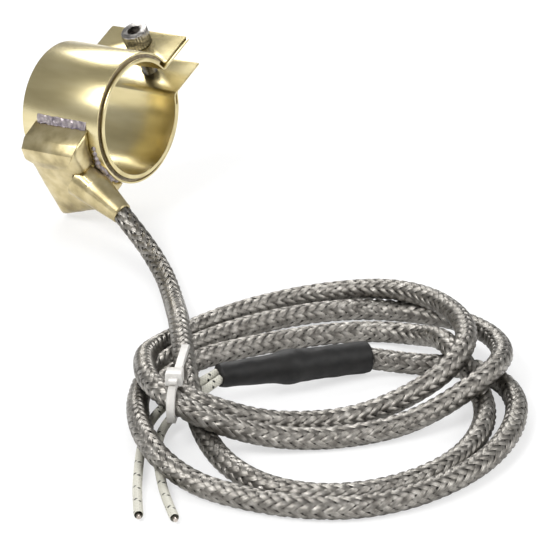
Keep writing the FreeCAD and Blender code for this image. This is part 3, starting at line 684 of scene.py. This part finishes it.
def cableTie(setup):
    aboutZ, aboutY = (math.radians(a) for a in setup["turn"])
    turn = Matrix.Rotation(aboutZ, 4, "Z") @ Matrix.Rotation(aboutY, 4, "Y")
    placing = Matrix.Translation(Vector(setup["centre"])) @ turn
    half, height = setup["halfLength"], setup["halfHeight"]
    outline = []
    for end in (1, -1):
        for i in range(13):
            a = math.radians(-90 + 180 * i / 12)
            outline.append((end * (half - height * 0.05 + height * math.cos(a)), end * height * math.sin(a)))
        outline += [(end * half * f, end * height) for f in (0.75, 0.5, 0.25, 0, -0.25, -0.5, -0.75)]
    width, thick = setup["strap"]
    slope = math.radians(setup["slope"])

    def toWorld(u, v, w):
        x = u * math.cos(slope) - v * math.sin(slope) + setup["middle"][0]
        z = u * math.sin(slope) + v * math.cos(slope) + setup["middle"][1]
        return placing @ (Vector((x, w, z)) / 1000)

    count = len(outline)
    rows = []
    for i, (u, v) in enumerate(outline):
        before, after = outline[i - 1], outline[(i + 1) % count]
        along = Vector((after[0] - before[0], after[1] - before[1])).normalized()
        out = Vector((along.y, -along.x))
        rows.append([toWorld(u + out.x * o, v + out.y * o, w)[:] for o, w in
                     ((0, -width / 2), (thick, -width / 2 + 0.2), (thick, width / 2 - 0.2), (0, width / 2))])
    points = np.array(rows + [rows[0]])
    strap = gridMesh("tie_strap", [(points, points[:, :, :2] * 0, 0, True)], [])
    bpy.ops.object.select_all(action="DESELECT")
    parts = [strap]
    lengthAlong, wide, tall = setup["head"]
    stubAt = setup["headAt"] + lengthAlong / 2 + 1.2
    blocks = (((lengthAlong, wide, tall), (setup["headAt"], -height - tall / 2 + 0.2)),
              ((setup["stub"], width, thick), (stubAt, -height - tall * 0.55)))
    for size, spot in blocks:
        bpy.ops.mesh.primitive_cube_add(size=1)
        block = bpy.context.object
        for vertex in block.data.vertices:
            u, w, v = (vertex.co[k] * size[k] for k in range(3))
            vertex.co = toWorld(spot[0] + u, spot[1] + v, w)
        applyModifier(block, "BEVEL", width=0.00035 if size[2] > 2 else 0.0002, segments=3)
        parts.append(block)
    tie = joined("zip_tie", parts)
    editMesh(tie, (bpy.ops.mesh.normals_make_consistent, {"inside": False}))
    bpy.ops.object.shade_smooth_by_angle(angle=math.radians(40))
    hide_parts("cable_tie")
    return tie


zipTie = dress(cableTie(tieSetup), nylon)
print("stage: cable tie")


# Tails: two glass-braided wires out of the end sleeve

tailSetup = {"radius": 0.0012, "length": {"left": 0.0703, "right": 0.0682}, "step": 0.0005}
neck = np.array(sleeveSetup["right"])
neckWay = np.array(sleeveSetup["left"]) - neck
neck = neck + neckWay / np.linalg.norm(neckWay) * sleeveSetup["length"]
tailRoutes = {
    "left": [tuple(neck + np.array((0.0006, 0.0010, 0.0003))), (-0.0957, -0.1034, -0.0264),
             (-0.1042, -0.1018, -0.0284), (-0.1133, -0.1038, -0.0297),
             (-0.1222, -0.1088, -0.0307), (-0.1307, -0.1146, -0.0312),
             (-0.1393, -0.1208, -0.0313), (-0.1476, -0.1278, -0.0313)],
    "right": [tuple(neck + np.array((-0.0007, -0.0012, -0.0003))), (-0.0963, -0.1066, -0.0274),
              (-0.1046, -0.1056, -0.0294), (-0.1131, -0.1078, -0.0307), (-0.1213, -0.1134, -0.0313),
              (-0.1290, -0.1202, -0.0313), (-0.1369, -0.1278, -0.0313), (-0.1437, -0.1358, -0.0313)],
}

# Glass yarn braid, lacquered: cream with a dark tracer thread, fine diamonds
yarn, yarnTree, yarnShader = newMaterial("lacquered_glass_yarn_braid",
                                         {"Roughness": 0.6, "Specular IOR Level": 0.35})
yarnUv = addNode(yarnTree, "ShaderNodeUVMap", {"uv_map": "cordUV"})
yarnSplit = addNode(yarnTree, "ShaderNodeSeparateXYZ", links={"Vector": (yarnUv, 0)})


def yarnLines(way, across, along):
    # 1 on one set of slanting threads, from the place round the wire and along it
    around = addNode(yarnTree, "ShaderNodeMath", {"operation": "MULTIPLY"},
                     {1: float(way * across)}, {0: (yarnSplit, "X")})
    onward = addNode(yarnTree, "ShaderNodeMath", {"operation": "MULTIPLY_ADD"},
                     {1: along}, {0: (yarnSplit, "Y"), 2: (around, 0)})
    return addNode(yarnTree, "ShaderNodeMath", {"operation": "FRACT"}, links={0: (onward, 0)})


tracer = addNode(yarnTree, "ShaderNodeMath", {"operation": "LESS_THAN"},
                 {1: 0.16}, {0: (yarnLines(1, 1, 0.16), 0)})   # one dark thread
broken = addNode(yarnTree, "ShaderNodeMath", {"operation": "LESS_THAN"},
                 {1: 0.42}, {0: (yarnLines(-1, 2, 0.62), 0)})   # hidden where the others cross it
marks = addNode(yarnTree, "ShaderNodeMath", {"operation": "MULTIPLY"}, links={0: (tracer, 0), 1: (broken, 0)})
threads = addNode(yarnTree, "ShaderNodeMath", {"operation": "ADD"},
                  links={0: (yarnLines(1, 6, 1.3), 0), 1: (yarnLines(-1, 6, 1.3), 0)})
yarnTone = ramp(yarnTree, threads, 0, [(0.1, srgb("#8E8C80")), (0.9, srgb("#C4C2B6"))])
yarnMix = addNode(yarnTree, "ShaderNodeMix", {"data_type": "RGBA"}, links={"Factor": (marks, 0)})
yarnMix.inputs["B"].default_value = srgb("#2A2A28")
yarnTree.links.new(yarnTone.outputs["Color"], yarnMix.inputs["A"])
yarnTree.links.new(yarnMix.outputs["Result"], yarnShader.inputs["Base Color"])
yarnBump = addNode(yarnTree, "ShaderNodeBump", inputs={"Strength": 0.6, "Distance": 0.00008},
                   links={"Height": (threads, 0)})
yarnTree.links.new(yarnBump.outputs["Normal"], yarnShader.inputs["Normal"])

for name, route in tailRoutes.items():
    points = splinePoints("tail_line_" + name, route)
    at, place, side, up = cordFrames(points, tailSetup["step"])
    radii = tailSetup["radius"] * (1 + 0.03 * np.sin(at * 5200))
    radii[-1] *= 0.9
    tail = gridMesh("tail_" + name, [tubeSheet(at, place, side, up, radii, 16, 0)], [])
    dress(tail, yarn)
    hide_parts("tail_wire_" + name)
    print("tail", name, round(float(at[-1]), 4))
print("stage: tails")
